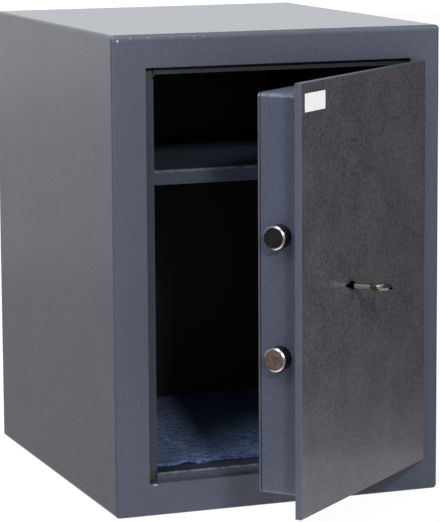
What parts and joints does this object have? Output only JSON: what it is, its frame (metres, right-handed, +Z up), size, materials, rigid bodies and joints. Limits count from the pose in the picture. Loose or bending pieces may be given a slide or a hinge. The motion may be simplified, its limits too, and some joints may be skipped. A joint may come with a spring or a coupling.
{
  "type": "home safe",
  "caption": "Free-standing steel home safe: hinged door with a double-bit key lock and round locking bolts, a loose shelf and a felt floor mat inside.",
  "frame": {"origin": "on the underside, midway between the two floor anchor holes, which is also the middle of the body's footprint", "axes": "+Z up, the door faces -Y, the hinge side is +X"},
  "size_m": [0.364, 0.6214, 0.5],
  "materials": {
    "shell_paint": "fine satin powder coat, blue-grey",
    "frame_paint": "fine textured powder coat, dark blue-grey",
    "door_paint": "coarse leather-texture powder coat, dark grey",
    "liner_paint": "satin powder coat, dark grey",
    "shelf_paint": "satin powder coat, dark slate",
    "board": "pale mineral insulating board",
    "felt": "blue-grey needle felt",
    "bolt_chrome": "polished, with a turned chamfer",
    "steel": "zinc-plated steel",
    "hardened": "hardened plate, dark",
    "spring_steel": "blued spring steel",
    "brass": "plain",
    "key_nickel": "nickel plate, worn satin",
    "label_film": "blank white film"
  },
  "bodies": {
    "cabinet": {"outer_shell": "shell_paint", "back_panel": "shell_paint", "front_frame": "frame_paint", "rebate_left": "frame_paint", "rebate_right": "frame_paint", "rebate_top": "frame_paint", "rebate_bottom": "frame_paint", "corner_gussets": "liner_paint", "inner_liner": "liner_paint", "fire_boards": "board", "anchor_sleeves": "steel", "floor_mat": "felt", "shelf_rail_left": "liner_paint", "shelf_rail_right": "liner_paint", "hinge_bracket_lower": "steel", "hinge_bracket_upper": "steel", "hinge_pins": "steel", "hinge_washers": "brass"},
    "shelf": {"shelf": "shelf_paint"},
    "door": {"hinge_arm_lower": "frame_paint", "hinge_arm_upper": "frame_paint", "door_plate": "door_paint", "blank_label": "label_film", "door_pan": "frame_paint", "cover_posts": "steel", "back_cover": "frame_paint", "cover_screws": "steel", "bolt_bushes": "steel", "drill_plate": "hardened", "lock_case": "steel", "lock_cover": "steel", "lock_screws": "steel", "lever_pin": "steel", "lever_springs": "spring_steel"},
    "boltwork": {"bolt_upper": "bolt_chrome", "bolt_lower": "bolt_chrome", "bolt_bar": "steel", "bolt_screws": "steel", "tail_screw": "steel", "lock_bolt": "steel"},
    "lever_pack": {"levers": "brass"},
    "curtain": {"key_curtain": "steel"},
    "key": {"key": "key_nickel"}
  },
  "joints": [
    {"name": "door_swing", "type": "hinge", "parent": "cabinet", "child": "door", "pos_m": [0.169, -0.1967, 0.25], "axis": [0, 0, 1], "range_deg": [-41, 54]},
    {"name": "bolt_throw", "type": "slide", "parent": "door", "child": "boltwork", "axis": [-0.7547, -0.6561, 0], "range_m": [0, 0.016]},
    {"name": "key_turn", "type": "hinge", "parent": "door", "child": "curtain", "pos_m": [0.02414, -0.34025, 0.253], "axis": [0.6561, -0.7547, 0], "range_deg": [0, 180]},
    {"name": "key_withdraw", "type": "slide", "parent": "curtain", "child": "key", "axis": [0.6561, -0.7547, 0], "range_m": [0, 0.045]},
    {"name": "lever_lift", "type": "hinge", "parent": "door", "child": "lever_pack", "pos_m": [0.04075, -0.29838, 0.239], "axis": [-0.6561, 0.7547, 0], "range_deg": [0, 2.5], "stiffness_Nm_per_rad": 0.1, "springref_deg": -9.74, "deforming": ["lever_springs"]},
    {"name": "shelf_lift", "type": "slide", "parent": "cabinet", "child": "shelf", "axis": [0, 0, 1], "range_m": [0, 0.03]}
  ],
  "couplings": [
    {"joint": "key_turn", "follows": "bolt_throw", "rad_per_m": 196.3}
  ]
}
